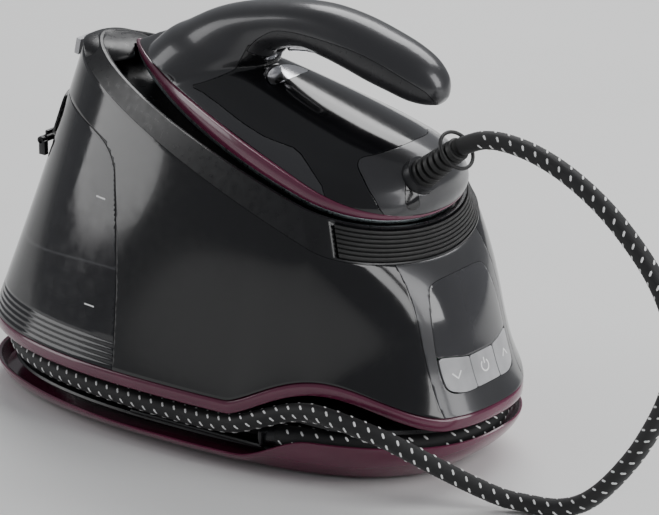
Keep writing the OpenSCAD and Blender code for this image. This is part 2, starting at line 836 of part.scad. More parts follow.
pivot = [142, 68.8];
module trigger() color([0.85, 0.85, 0.87]) {
    iron_frame()
        rotate([90, 0, 0])
            difference() {
                linear_extrude(13, center = true)
                    polygon([[112.6, 47.5], [115, 46.5], [122, 52.5], [133, 56.8], [147, 58.6],
                        [148.5, 71], [139, 73], [128, 66.5], [115.5, 57.5]]);
                translate([pivot[0], pivot[1], 0])
                    cylinder(h = 30, r = 1.55, center = true);
            }
}
module trigger_pin() color("silver") {
    iron_frame()
        translate([pivot[0], 0, pivot[1]])
            rotate([90, 0, 0])
                cylinder(h = 19.6, r = 1.5, center = true);
}
module trigger_frame() color([0.85, 0.85, 0.83]) {
    iron_frame()
        difference() {
            union() {
                for (s = [-1, 1])
                    translate([136, s * 9 - 0.8, 66.3])
                        cube([13, 1.6, 15]);
                translate([122, -9.8, 80])
                    cube([27, 19.6, 2]);
            }
            translate([pivot[0], 0, pivot[1]])
                rotate([90, 0, 0])
                    cylinder(h = 60, r = 1.5, center = true);
        }
}
module trigger_spring() color("silver") {
    iron_frame()
        translate([pivot[0], -6.7, pivot[1]])
            rotate([90, 0, 0])
                difference() {
                    cylinder(h = 1.4, r = 3);
                    translate([0, 0, -1])
                        cylinder(h = 5, r = 1.6);
                }
}
module micro_switch() color([0.1, 0.1, 0.12]) {
    iron_frame()
        translate([114.6, -4, 69.6])
            cube([14, 8, 7]);
}
module inner_steam_pipe() color([0.8, 0.8, 0.78]) {
    iron_frame()
        translate([198, -8, 16])
            rotate([0, 90, 0])
                cylinder(h = 32, r = 3.2);
}

module hose_boss() color([0.6, 0.6, 0.62]) {
    along(boot_at, boot_dir)
        translate([0, 0, -8])
            cylinder(h = 13, r = 12);
}
module hose_boot() color([0.08, 0.08, 0.08]) {
    along(boot_at + boot_dir * 5.1, boot_dir)
        rotate_extrude()
            polygon(concat([[0, 0]], [for (k = [0:6])
                each [[9.6 - k * 0.32, k * 5.6], [9.6 - k * 0.32, k * 5.6 + 3.4],
                    [7.6 - k * 0.2, k * 5.6 + 3.8], [7.6 - k * 0.2, k * 5.6 + 5.5]]],
                [[0, 39.1]]));
}
module hose_ring() color([0.05, 0.05, 0.05]) {
    along(boot_at + boot_dir * 40, boot_dir)
        rotate_extrude()
            translate([12.6, 0])
                circle(1.2);
    along(boot_at + boot_dir * 40, boot_dir)
        translate([0, 10.4, 0])
            rotate([90, 0, 0])
                cylinder(h = 1.6, r = 1.2, center = true);
}

base_tray();
rubber_feet();
base_screws();
groove_core();
trim_ring();
body_shell();
front_panel();
control_window();
button_down();
button_power();
button_up();
control_board();
key_switches();
deck();
iron_rest();
heel_stop();
nose_cradle();
latch_tab();
water_tank();
tank_flap();
flap_hinge();
flap_pin();
tank_valve();
valve_seat();
boiler();
boiler_heater();
boiler_strap();
safety_valve();
water_pump();
steam_valve();
water_tube();
steam_tube();
power_board();
mains_inlet();
hose_clip();
hose_gland();
hose_sleeve();
steam_hose();
soleplate();
sole_gasket();
steam_chamber();
sole_heater();
thermostat();
iron_band();
iron_shell();
saddle_cover();
handle_grip();
grip_collar();
heel_cover();
iron_screws();
trigger();
trigger_frame();
trigger_pin();
trigger_spring();
micro_switch();
inner_steam_pipe();
hose_boss();
hose_boot();
hose_ring();
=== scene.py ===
"""Looks of a steam generator iron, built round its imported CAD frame.

Shapes are worked out in millimetres with the design's own formulas and become metres when a
mesh is made. +X is the control-panel end, -X the tank end, and +Z is up.
"""
import math

import bmesh
import bpy
import numpy as np
from mathutils import Matrix, Vector
from mathutils.bvhtree import BVHTree


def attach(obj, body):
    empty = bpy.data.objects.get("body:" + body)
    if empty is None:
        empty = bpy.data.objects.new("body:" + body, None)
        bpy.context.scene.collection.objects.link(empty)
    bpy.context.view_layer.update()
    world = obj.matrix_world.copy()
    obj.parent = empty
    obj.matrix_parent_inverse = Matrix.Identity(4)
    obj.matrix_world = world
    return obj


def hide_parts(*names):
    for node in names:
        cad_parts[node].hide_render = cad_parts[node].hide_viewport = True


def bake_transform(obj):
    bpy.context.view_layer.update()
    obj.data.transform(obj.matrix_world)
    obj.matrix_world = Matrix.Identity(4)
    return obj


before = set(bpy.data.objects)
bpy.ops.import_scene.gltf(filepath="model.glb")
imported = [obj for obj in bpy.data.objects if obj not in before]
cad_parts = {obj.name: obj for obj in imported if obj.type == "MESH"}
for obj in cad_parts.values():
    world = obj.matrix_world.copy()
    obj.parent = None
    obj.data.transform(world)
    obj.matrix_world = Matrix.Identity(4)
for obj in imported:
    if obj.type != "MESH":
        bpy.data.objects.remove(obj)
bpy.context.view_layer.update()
MM = 0.001
RING = 480  # points round the big outlines


# ---------------------------------------------------------------- formulas of the design

def signed_pow(v, p):
    return np.sign(v) * np.abs(v) ** p


def smooth(a, b, x):
    f = np.clip((x - a) / (b - a), 0, 1)
    return f * f * (3 - 2 * f)


def turn(n):
    return np.arange(n) * 2 * np.pi / n


def super_ring(a, b, power, t, cx=0.0):
    """Superellipse of half-axes a and b."""
    return np.stack([cx + a * signed_pow(np.cos(t), 2 / power),
                     b * signed_pow(np.sin(t), 2 / power)], -1)


def egg_ring(nose_x, mid_x, heel_x, half_width, nose_power, heel_power, t):
    """Outline pointed at nose_x, widest at mid_x and blunt at heel_x."""
    c, s = np.cos(t), np.sin(t)
    ahead = c < 0
    x = np.where(ahead, mid_x + (mid_x - nose_x) * c,
                 mid_x + (heel_x - mid_x) * np.abs(c) ** (2 / heel_power))
    y = half_width * np.where(ahead, signed_pow(s, nose_power), signed_pow(s, 2 / heel_power))
    return np.stack([x, y], -1)


def resample(ring, n):
    """The closed outline at n equal steps of arc, from its first point."""
    closed = np.vstack([ring, ring[:1]])
    run = np.concatenate([[0], np.cumsum(np.linalg.norm(np.diff(closed, axis=0), axis=1))])
    at = np.arange(n) * run[-1] / n
    return np.stack([np.interp(at, run, closed[:, k]) for k in range(ring.shape[1])], 1)


def inset(ring, d):
    """A plan outline moved inward by d along its own normals."""
    along = np.roll(ring, -1, 0) - np.roll(ring, 1, 0)
    along /= np.maximum(np.linalg.norm(along, axis=1, keepdims=True), 1e-6)
    return ring + d * np.stack([-along[:, 1], along[:, 0]], 1)


def with_z(plan, z):
    return np.column_stack([plan[:, 0], plan[:, 1], np.broadcast_to(z, len(plan))])


def curve(points, u):
    """Catmull-Rom curve through points at parameters u, counted in points."""
    p = np.asarray(points, float)
    last = len(p) - 1
    u = np.asarray(u, float)
    i = np.clip(np.floor(u).astype(int), 0, last - 1)
    f = (u - i)[:, None]
    a, b = p[np.maximum(i - 1, 0)], p[i]
    c, d = p[i + 1], p[np.minimum(i + 2, last)]
    return 0.5 * (2 * b + (c - a) * f + (2 * a - 5 * b + 4 * c - d) * f ** 2
                  + (3 * b - a - 3 * c + d) * f ** 3)


def rounded(polygon, passes=2):
    """A polygon with its corners cut round."""
    p = np.asarray(polygon, float)
    for _ in range(passes):
        q = np.roll(p, -1, 0)
        p = np.stack([p * 0.75 + q * 0.25, p * 0.25 + q * 0.75], 1).reshape(-1, 2)
    return p


def poly_distance(points, polygon):
    """Signed distance to a closed polygon in a plane, positive inside."""
    v = np.asarray(polygon, float)
    nearest = np.full(len(points), np.inf)
    inside = np.zeros(len(points), bool)
    for a, b in zip(v, np.roll(v, -1, 0)):
        e, w = b - a, points - a
        near = w - e * np.clip(w @ e / max(e @ e, 1e-12), 0, 1)[:, None]
        nearest = np.minimum(nearest, (near ** 2).sum(1))
        crosses = (a[1] > points[:, 1]) != (b[1] > points[:, 1])
        if b[1] != a[1]:
            inside ^= crosses & (points[:, 0] < e[0] * (points[:, 1] - a[1]) / e[1] + a[0])
    return np.where(inside, 1, -1) * np.sqrt(nearest)


# ---------------------------------------------------------------- mesh helpers

def grid(rows, closed=True):
    """Points and outward faces of stacked rings, listed from the lowest up."""
    rows = np.asarray(rows, float)
    m, n = rows.shape[:2]
    faces = [(r * n + c, r * n + (c + 1) % n, (r + 1) * n + (c + 1) % n, (r + 1) * n + c)
             for r in range(m - 1) for c in range(n if closed else n - 1)]
    return rows.reshape(-1, 3), faces


def loft(rows):
    """A grid of closed rings with its two ends capped."""
    points, faces = grid(rows)
    n = len(rows[0])
    ends = len(points) - n
    return points, faces + [tuple(range(n - 1, -1, -1)), tuple(range(ends, ends + n))]


def hoop(rows):
    """A closed band: rings that go up the outside and back down the inside."""
    return grid(list(rows) + [rows[0]])


def make(name, surface):
    """A new object, still in millimetres."""
    mesh = bpy.data.meshes.new(name)
    mesh.from_pydata([tuple(p) for p in surface[0]], [], surface[1])
    obj = bpy.data.objects.new(name, mesh)
    bpy.context.scene.collection.objects.link(obj)
    return obj


def weld(obj, distance=0.01):
    bm = bmesh.new()
    bm.from_mesh(obj.data)
    bmesh.ops.remove_doubles(bm, verts=bm.verts, dist=distance)
    bmesh.ops.recalc_face_normals(bm, faces=bm.faces)
    bm.to_mesh(obj.data)
    bm.free()
    return obj


def join(name, objs):
    """One object from several."""
    bm = bmesh.new()
    for o in objs:
        bm.from_mesh(o.data)
        bpy.data.objects.remove(o)
    mesh = bpy.data.meshes.new(name)
    bm.to_mesh(mesh)
    bm.free()
    obj = bpy.data.objects.new(name, mesh)
    bpy.context.scene.collection.objects.link(obj)
    return obj


def apply_modifiers(obj):
    bpy.context.view_layer.update()
    graph = bpy.context.evaluated_depsgraph_get()
    mesh = bpy.data.meshes.new_from_object(obj.evaluated_get(graph))
    obj.modifiers.clear()
    old = obj.data
    obj.data = mesh
    bpy.data.meshes.remove(old)
    return obj


def boolean(obj, cutter, operation="DIFFERENCE"):
    step = obj.modifiers.new("cut", "BOOLEAN")
    step.operation = operation
    step.solver = "EXACT"
    step.object = cutter
    apply_modifiers(obj)
    bpy.data.objects.remove(cutter)
    return obj


def soften(obj, width=0.5, segments=2, angle=35):
    """Rounds the sharp edges."""
    step = obj.modifiers.new("soften", "BEVEL")
    step.width = width
    step.segments = segments
    step.limit_method = "ANGLE"
    step.angle_limit = math.radians(angle)
    step.harden_normals = False
    return apply_modifiers(obj)


def thicken(obj, thickness):
    """Gives an open surface a wall inward."""
    step = obj.modifiers.new("wall", "SOLIDIFY")
    step.thickness = thickness
    step.offset = -1
    step.use_even_offset = True
    return apply_modifiers(obj)


def keep_where(obj, *fields):
    """Keeps an open surface where every field is positive, cut cleanly along their zero lines."""
    bm = bmesh.new()
    bm.from_mesh(obj.data)
    for field in fields:
        values = field(np.array([v.co for v in bm.verts]))
        value = {v: (0.0 if abs(f) < 1e-3 else f) for v, f in zip(bm.verts, values)}
        for edge in [e for e in bm.edges if value[e.verts[0]] * value[e.verts[1]] < 0]:
            a, b = edge.verts
            share = value[a] / (value[a] - value[b])
            _, vert = bmesh.utils.edge_split(edge, a, share)
            value[vert] = 0.0
        for face in list(bm.faces):
            line = [v for v in face.verts if value[v] == 0]
            both = min(value[v] for v in face.verts) < 0 < max(value[v] for v in face.verts)
            if both and len(line) == 2:
                bmesh.utils.face_split(face, line[0], line[1])
        gone = [f for f in bm.faces if min(value[v] for v in f.verts) < 0]
        bmesh.ops.delete(bm, geom=gone, context="FACES")
    bm.to_mesh(obj.data)
    bm.free()
    return obj


def iron_place():
    """Turns the iron's own frame, x back along the sole, into the base's frame."""
    nose = Vector((-95.3, 0, 236.2))
    return Matrix.Translation(nose) @ Matrix.Rotation(math.radians(15.53), 4, "Y")


def settle(obj, look, body, nodes=(), place=None, sharp=38):
    """Last step of a piece: into place in metres, shaded, finished and riding on its body."""
    obj.data.transform(Matrix.Scale(MM, 4) @ (place or Matrix.Identity(4)))
    bm = bmesh.new()
    bm.from_mesh(obj.data)
    for face in bm.faces:
        face.smooth = True
    for edge in bm.edges:
        edge.smooth = len(edge.link_faces) == 2 and edge.calc_face_angle(0) < math.radians(sharp)
    bm.to_mesh(obj.data)
    bm.free()
    obj.data.materials.clear()
    obj.data.materials.append(look)
    if body:
        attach(obj, body)
    if nodes:
        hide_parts(*nodes)
    return obj


# ---------------------------------------------------------------- materials

class Look:
    """Small builder of one procedural material round a Principled shader."""

    def __init__(self, name, color, roughness, **sockets):
        self.material = bpy.data.materials.new(name)
        self.material.use_nodes = True
        self.tree = self.material.node_tree
        self.shader = self.tree.nodes["Principled BSDF"]
        self.color = color
        self.roughness = roughness
        self.shader.inputs["Base Color"].default_value = (*color, 1)
        self.shader.inputs["Roughness"].default_value = roughness
        for key, value in sockets.items():
            self.shader.inputs[key.replace("_", " ")].default_value = value
        self.coords = self.node("ShaderNodeTexCoord")
        self.height = None

    def node(self, kind, **values):
        made = self.tree.nodes.new(kind)
        for key, value in values.items():
            setattr(made, key, value)
        return made

    def link(self, source, target):
        self.tree.links.new(source, target)

    def noise(self, scale, detail=3, stretch=None):
        made = self.node("ShaderNodeTexNoise")
        made.inputs["Scale"].default_value = scale
        made.inputs["Detail"].default_value = detail
        source = self.coords.outputs["Object"]
        if stretch:
            mapping = self.node("ShaderNodeMapping")
            mapping.inputs["Scale"].default_value = stretch
            self.link(source, mapping.inputs["Vector"])
            source = mapping.outputs["Vector"]
        self.link(source, made.inputs["Vector"])
        return made.outputs["Fac"]

    def spread(self, source, low, high, from_low=0.3, from_high=0.7):
        made = self.node("ShaderNodeMapRange")
        for key, value in (("From Min", from_low), ("From Max", from_high), ("To Min", low),
                           ("To Max", high)):
            made.inputs[key].default_value = value
        self.link(source, made.inputs["Value"])
        return made.outputs["Result"]

    def tint(self, source, other, from_low=0.3, from_high=0.7):
        """Colour runs from the base colour to another as source goes up."""
        made = self.node("ShaderNodeMix", data_type="RGBA")
        made.inputs[6].default_value = (*self.color, 1)
        made.inputs[7].default_value = (*other, 1)
        self.link(self.spread(source, 0, 1, from_low, from_high), made.inputs[0])
        self.link(made.outputs[2], self.shader.inputs["Base Color"])
        return self

    def shine(self, source, low, high):
        self.link(self.spread(source, low, high), self.shader.inputs["Roughness"])
        return self

    def bump(self, source, distance, strength=0.5):
        made = self.node("ShaderNodeBump")
        made.inputs["Distance"].default_value = distance
        made.inputs["Strength"].default_value = strength
        self.link(source, made.inputs["Height"])
        if self.height:
            self.link(self.height, made.inputs["Normal"])
        self.height = made.outputs["Normal"]
        self.link(self.height, self.shader.inputs["Normal"])
        return self

    def worn_edges(self, paler, amount=0.5):
        """Paler, rubbed convex edges over whatever colour is there."""
        edge = self.node("ShaderNodeNewGeometry").outputs["Pointiness"]
        mask = self.spread(edge, 0, amount, 0.53, 0.6)
        made = self.node("ShaderNodeMix", data_type="RGBA")
        made.inputs[6].default_value = (*self.color, 1)
        made.inputs[7].default_value = (*paler, 1)
        links = self.shader.inputs["Base Color"].links
        if links:
            self.link(links[0].from_socket, made.inputs[6])
        self.link(mask, made.inputs[0])
        self.link(made.outputs[2], self.shader.inputs["Base Color"])
        return self


def scaled(color, factor):
    return tuple(min(1.0, c * factor) for c in color)


def gloss_plastic(name, color, roughness, **sockets):
    """Polished moulded plastic: faint flow marks, dust-fine grain and slightly rubbed edges."""
    look = Look(name, color, roughness, **sockets)
    look.tint(look.noise(38, 4), scaled(color, 1.18))
    look.shine(look.noise(160, 6), roughness * 0.85, roughness * 1.25)
    look.bump(look.noise(22, 2), 0.0002, 0.03)
    look.bump(look.noise(2600, 2), 0.00002, 0.1)
    return look.worn_edges(scaled(color, 1.7), 0.3).material


def satin_plastic(name, color, roughness, grain=1500, **sockets):
    """Matt moulded plastic with a spark-eroded grain."""
    look = Look(name, color, roughness, **sockets)
    look.tint(look.noise(60, 5), scaled(color, 1.35))
    look.shine(look.noise(220, 5), roughness * 0.85, roughness * 1.2)
    look.bump(look.noise(grain, 3), 0.00008, 0.35)
    return look.worn_edges(scaled(color, 2.2), 0.4).material


def metal_flake(name, color, roughness, metallic, **sockets):
    """Lacquered silver plastic with fine flakes under a clear coat."""
    look = Look(name, color, roughness, Metallic=metallic, **sockets)
    look.tint(look.noise(5200, 2), scaled(color, 1.3), 0.45, 0.62)
    look.shine(look.noise(60, 3), roughness * 0.92, roughness * 1.1)
    look.bump(look.noise(18, 2), 0.0002, 0.02)
    return look.material


def bare_metal(name, color, roughness, stretch=None):
    """Metal with drawn or tumbled marks."""
    look = Look(name, color, roughness, Metallic=1.0)
    marks = look.noise(240, 6, stretch or (1, 1, 1))
    look.tint(marks, scaled(color, 0.72))
    look.shine(marks, roughness * 0.7, roughness * 1.5)
    look.bump(marks, 0.00005, 0.3)
    return look.material


def smoked_plastic(name, color):
    """Dark transparent plastic, a little uneven in depth of tint."""
    look = Look(name, color, 0.06, IOR=1.5, Transmission_Weight=0.22)
    look.tint(look.noise(16, 3), scaled(color, 1.5))
    look.shine(look.noise(120, 5), 0.05, 0.11)
    look.bump(look.noise(30, 2), 0.0005, 0.06)
    return look.material


def braided_textile(name, color):
    """Twill braid of fine yarns, laid by the tube's own coordinates: metres along, turns round."""
    look = Look(name, color, 0.62, Sheen_Weight=0.12, Sheen_Roughness=0.4)
    mapping = look.node("ShaderNodeMapping")
    mapping.inputs["Scale"].default_value = (900, 24, 1)
    mapping.inputs["Rotation"].default_value = (0, 0, math.radians(38))
    look.link(look.coords.outputs["UV"], mapping.inputs["Vector"])
    yarn = look.node("ShaderNodeTexWave")
    yarn.inputs["Scale"].default_value = 0.5
    yarn.inputs["Distortion"].default_value = 0.6
    look.link(mapping.outputs["Vector"], yarn.inputs["Vector"])
    look.tint(yarn.outputs["Fac"], scaled(color, 2.4), 0.2, 0.9)
    look.bump(yarn.outputs["Fac"], 0.0002, 0.5)
    look.bump(look.noise(3500, 3), 0.0001, 0.5)
    return look.material


WINE = (0.105, 0.016, 0.044)
BLACK = (0.005, 0.005, 0.006)
LOOKS = {
    "wine_plastic": gloss_plastic("wine_plastic", WINE, 0.2, Coat_Weight=0.4),
    "black_gloss": gloss_plastic("black_gloss", BLACK, 0.11, Coat_Weight=0.2),
    "black_satin": satin_plastic("black_satin", (0.007, 0.007, 0.008), 0.3),
    "grey_gloss": metal_flake("grey_gloss", (0.042, 0.042, 0.045), 0.3, 0.45, Coat_Weight=0.5,
                              Coat_Roughness=0.1),
    "window_gloss": gloss_plastic("window_gloss", (0.03, 0.03, 0.033), 0.09, Coat_Weight=0.6),
    "key_grey": satin_plastic("key_grey", (0.34, 0.34, 0.35), 0.34),
    "dark_grip": satin_plastic("dark_grip", (0.022, 0.022, 0.024), 0.3),
    "bright_chrome": bare_metal("bright_chrome", (0.78, 0.78, 0.8), 0.13),
    "smoked_tank": smoked_plastic("smoked_tank", (0.016, 0.016, 0.018)),
    "rubber_black": satin_plastic("rubber_black", (0.012, 0.012, 0.012), 0.5, 900),
    "braid": braided_textile("braid", (0.005, 0.005, 0.0055)),
    "sole_metal": bare_metal("sole_metal", (0.62, 0.72, 0.74), 0.3, (1, 14, 1)),
    "steel_parts": bare_metal("steel_parts", (0.55, 0.55, 0.56), 0.3),
    "cast_block": bare_metal("cast_block", (0.42, 0.42, 0.43), 0.5),
    "heater_steel": bare_metal("heater_steel", (0.2, 0.16, 0.13), 0.45),
    "brass_parts": bare_metal("brass_parts", (0.62, 0.45, 0.2), 0.28),
    "board_green": satin_plastic("board_green", (0.015, 0.09, 0.035), 0.42),
    "inner_plastic": satin_plastic("inner_plastic", (0.3, 0.3, 0.29), 0.45),
    "silicone": satin_plastic("silicone", (0.42, 0.40, 0.38), 0.42, 700),
}


# ---------------------------------------------------------------- camera, light and floor

def make_camera():
    azimuth, elevation, distance = math.radians(36.2), math.radians(19.7), 3.0
    aim = Vector((0.0615, 0, 0.1186))
    back = Vector((math.sin(azimuth) * math.cos(elevation),
                   -math.cos(azimuth) * math.cos(elevation), math.sin(elevation)))
    data = bpy.data.cameras.new("camera")
    data.lens = 252.7
    camera = bpy.data.objects.new("camera", data)
    camera.location = aim + back * distance
    camera.rotation_euler = (-back).to_track_quat("-Z", "Y").to_euler()
    bpy.context.scene.collection.objects.link(camera)
    bpy.context.scene.camera = camera


def soft_light(name, at, size, power, aim=(0.03, 0, 0.13)):
    data = bpy.data.lights.new(name, "AREA")
    data.shape = "RECTANGLE"
    data.size, data.size_y = size
    data.energy = power
    light = bpy.data.objects.new(name, data)
    light.location = at
    light.rotation_euler = (Vector(aim) - Vector(at)).to_track_quat("-Z", "Y").to_euler()
    bpy.context.scene.collection.objects.link(light)


def make_studio():
    world = bpy.data.worlds.new("studio")
    world.use_nodes = True
    background = world.node_tree.nodes["Background"]
    background.inputs["Color"].default_value = (0.78, 0.8, 0.84, 1)
    background.inputs["Strength"].default_value = 0.34
    bpy.context.scene.world = world
    soft_light("key_right", (1.8, 0.25, 1.0), (1.0, 1.5), 26)
    soft_light("fill_left", (-1.7, -0.9, 0.8), (0.9, 1.4), 12)
    soft_light("top_back", (-0.3, 1.4, 1.8), (2.2, 1.0), 40)
    floor = make("floor", ([(x * 3000, y * 3000, -0.05) for x, y in
                            ((-1, -1), (1, -1), (1, 1), (-1, 1))], [(0, 1, 2, 3)]))
    paper = Look("floor_paper", (0.82, 0.82, 0.81), 0.65)
    paper.tint(paper.noise(3, 3), (0.86, 0.86, 0.85))
    paper.bump(paper.noise(900, 3), 0.0001, 0.15)
    settle(floor, paper.material, None)


make_camera()
make_studio()


# ---------------------------------------------------------------- steam hose

HOSE_START = [
    [84, -84, 27], [100, -82, 28], [118, -77, 28], [138, -68, 28],
    [158, -53, 28], [173, -31.5, 28], [181, -8, 28], [180, 14, 28], [172, 36, 28], [156, 54, 28],
    [132, 70, 28], [100, 81, 28], [62, 88, 28], [20, 91, 28], [-30, 90.5, 28], [-76, 85.5, 28],
    [-118, 75, 28], [-150, 58.5, 28], [-172, 36, 28], [-181, 10, 28], [-181, -12, 28],
    [-172, -36, 28], [-150, -58.5, 28], [-118, -75.5, 28], [-76, -86, 28], [-30, -91, 28],
    [20, -92.5, 28], [52, -94, 31], [74, -93.5, 39], [94, -91.5, 47], [112, -91.5, 51.5],
    [130, -91.5, 51.5]]
HOSE_END = [
    [150, -88.5, 48], [170, -83, 42], [191, -73.5, 31], [213, -61, 18.5],
    [232, -50.5, 9.5], [247, -43.5, 6.6], [266, -39, 6.8], [282, -36, 12.5], [296, -33.5, 24],
    [310, -31, 41], [323, -29, 61], [337, -28.5, 90], [345, -29, 120], [342, -29.5, 142],
    [332, -29.5, 164], [316, -29, 184], [292, -28, 205], [266, -26.5, 220], [240, -24.5, 229],
    [216, -23.2, 232.5], [197, -22.4, 231], [180.2, -21.6, 223.8]]
HOSE_ROUTE = HOSE_START + HOSE_END
HOSE_R = 6.0
SLEEVE_R = 7.7
SLEEVE_POINTS = 5
FLECK_PITCH = 9.6  # between white flecks along the braid
FLECK_ROWS = 6  # rows of flecks round the hose


class Line:
    """A route at equal steps of length, with a steady cross frame along it."""

    def __init__(self, points, step):
        fine = curve(points, np.linspace(0, len(points) - 1, len(points) * 60))
        run = np.concatenate([[0], np.cumsum(np.linalg.norm(np.diff(fine, axis=0), axis=1))])
        self.length = run[-1]
        self.at = np.linspace(0, self.length, max(2, round(self.length / step) + 1))
        self.points = np.stack([np.interp(self.at, run, fine[:, k]) for k in range(3)], 1)
        along = np.gradient(self.points, axis=0)
        self.along = along / np.linalg.norm(along, axis=1, keepdims=True)
        across = [np.cross([0, 1, 1], self.along[0])]
        for way in self.along[1:]:
            last = across[-1]
            across.append(last - way * (last @ way))
            across[-1] = across[-1] / np.linalg.norm(across[-1])
        across[0] = across[0] / np.linalg.norm(across[0])
        self.across = np.array(across)
        self.up = np.cross(self.along, self.across)

    def spot(self, run, angle, radius):
        """Points on the tube, at lengths run and angles round it."""
        def at(rows):
            return np.stack([np.interp(run, self.at, rows[:, k]) for k in range(3)], -1)
        side = at(self.across) * np.cos(angle)[..., None] + at(self.up) * np.sin(angle)[..., None]
        return at(self.points) + side * np.asarray(radius)[..., None]


def braided_tube(name, line, radius, sides):
    """A tube whose surface has the raised crossings of a braid."""
    weave = 0.16
    run, angle = np.meshgrid(line.at, turn(sides), indexing="ij")
    phase = run * 2 * np.pi / 4.8
    crossing = np.cos(phase + angle * 6) * np.cos(phase - angle * 6)
    rows = line.spot(run, angle, radius - weave + weave * crossing)
    obj = make(name, loft(rows))
    uv = obj.data.uv_layers.new(name="UVMap")
    around = np.arange(len(line.at) * sides) % sides
    for loop in obj.data.loops:
        uv.data[loop.index].uv = (line.at[loop.vertex_index // sides] * MM,
                                  around[loop.vertex_index] / sides)
    return obj


def flecks(name, line, radius):
    """White yarn flecks: short slanted stitches that stand just proud of the braid."""
    half, width, slant = 2.0, 0.68, math.radians(52)
    outline = np.array([(-half, 0), (-half * 0.6, -width), (half * 0.6, -width), (half, 0),
                        (half * 0.6, width), (-half * 0.6, width)])
    turned = outline @ np.array([[math.cos(slant), math.sin(slant)],
                                 [-math.sin(slant), math.cos(slant)]])
    points, faces = [], []
    count = int((line.length - 8) / FLECK_PITCH)
    for row in range(FLECK_ROWS):
        for k in range(count):
            run = 4 + (k + 0.5 * (row % 2)) * FLECK_PITCH
            angle = 2 * np.pi * row / FLECK_ROWS
            runs = run + turned[:, 0]
            angles = angle + turned[:, 1] / radius
            low = line.spot(runs, angles, np.full(6, radius - 0.35))
            mid = line.spot(runs, angles, np.full(6, radius + 0.02))
            inner = line.spot(run + turned[:, 0] * 0.6, angle + turned[:, 1] * 0.6 / radius,
                              np.full(6, radius + 0.2))
            first = len(points)
            points.extend([*low, *mid, *inner])
            for layer in (0, 6):
                faces.extend([(first + layer + i, first + layer + (i + 1) % 6,
                               first + layer + 6 + (i + 1) % 6, first + layer + 6 + i)
                              for i in range(6)])
            faces.append(tuple(range(first + 12, first + 18)))
            faces.append(tuple(range(first + 5, first - 1, -1)))
    return make(name, (points, faces))


def make_hose():
    white = satin_plastic("fleck_yarn", (0.75, 0.75, 0.74), 0.6, 3000)
    whole = Line(HOSE_ROUTE, 1.2)
    sleeve_line = Line(HOSE_ROUTE[:SLEEVE_POINTS + 1], 1.2)
    hose = settle(braided_tube("steam_hose_braid", whole, HOSE_R, 30), LOOKS["braid"], None,
                  ["steam_hose"], sharp=60)
    sleeve = settle(braided_tube("steam_hose_sleeve", sleeve_line, SLEEVE_R, 36),
                    LOOKS["braid"], "base", ["hose_sleeve"], sharp=60)
    hose_flecks = settle(flecks("hose_flecks", whole, HOSE_R), white, None)
    sleeve_flecks = settle(flecks("sleeve_flecks", sleeve_line, SLEEVE_R), white, "base")
    for piece in (hose, hose_flecks):
        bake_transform(piece)
    path = [tuple(p * MM) for p in whole.points[::4]]
    if (len(whole.points) - 1) % 4:
        path.append(tuple(whole.points[-1] * MM))


make_hose()


# ---------------------------------------------------------------- body of the base

FOOT = (195.0, 103.0, 2.44)
TRIM_Z, TRIM_H = 48.7, 9.0
WALL = 2.5
DECK_GAP = 0.3
STOP_HALF = 70.0  # half the angle that the heel stop spans
SEAM_POINTS = [(-37, 30), (-44, 100), (-52, 140), (-57, 160), (-63, 176), (-78, 188),
               (-108, 195.5), (-131, 200)]
TANK_SEAM = np.vstack([curve(SEAM_POINTS, np.linspace(0, 7, 50)), [(-260, 208), (-260, 30)]])
PANEL_AT = np.array([184.2, 0, 71.5])
PANEL_TURN = math.radians(72)


def hump(x):
    return 23 * np.maximum(0, np.cos(np.clip((x - 119) / 132 * np.pi, -np.pi / 2, np.pi / 2))) ** 1.3


def trim_top(x):
    return TRIM_Z + hump(x)


def lip_z(x):
    return 13 + 3 * (1 - smooth(-150, -20, x)) + 17 * smooth(58, 112, x)


def rim_at(x):
    return 190.8 - 0.32 * x


def rim_ring(t):
    return egg_ring(-134.7, 106, 154.8, 83, 1.1, 1.85, t)


def crest_ring(t):
    return egg_ring(-122, 90, 150.5, 74.5, 1.2, 2, t)


def sole_at(x, d=0.0):
    """Height of the plane of the resting sole, lowered square to itself by d."""
    return 209.67 - 0.278 * x - d / math.cos(math.radians(15.53))


def even_foot(grow=0.0, n=RING):
    return resample(super_ring(FOOT[0] + grow, FOOT[1] + grow, FOOT[2], turn(4 * RING)), n)


def body_rows(d=0.0, levels=np.linspace(0, 1, 64), ribs=0.0):
    """Rings of the body's wall from the trim, level 0, up to the deck's rim, level 1."""
    low, high = even_foot(), resample(rim_ring(turn(4 * RING)), RING)
    rows = []
    for s in levels:
        bow = 0.5 * s * (1 - s) ** 4 - 1.2 * s ** 3 * (1 - s)
        share = (s + smooth(-120, 180, low[:, 0]) * bow)[:, None]
        z = (trim_top(low[:, 0]) + 0.6) * (1 - s) + rim_at(high[:, 0]) * s
        groove = ribs * np.sin(np.pi * (z - 51) / RIB_PITCH) ** 2 * (z > 51) * (z < RIB_TOP)
        plan = inset(low * (1 - share) + high * share, d + groove[:, None])
        rows.append(with_z(plan, z))
    return rows


RIB_PITCH = 3.5  # of the ribs moulded low on the tank
RIB_TOP = 51 + 5 * RIB_PITCH


def side_view(polygon):
    return lambda p: poly_distance(p[:, [0, 2]], polygon)


def minus(field, gap=0.0):
    """The outside of a field, kept gap away from it."""
    return lambda p: -field(p) - gap


def within(field, gap=0.0):
    return lambda p: field(p) - gap


in_tank = side_view(TANK_SEAM)


def in_panel(p):
    return np.minimum(44.65 - np.abs(p[:, 1]), p[:, 0] - 95)


def panel_xy(p):
    """Up the control panel and across it, for points in the base's frame."""
    d = p - PANEL_AT
    up = -d[:, 0] * math.cos(PANEL_TURN) + d[:, 2] * math.sin(PANEL_TURN)
    return up, -p[:, 1]


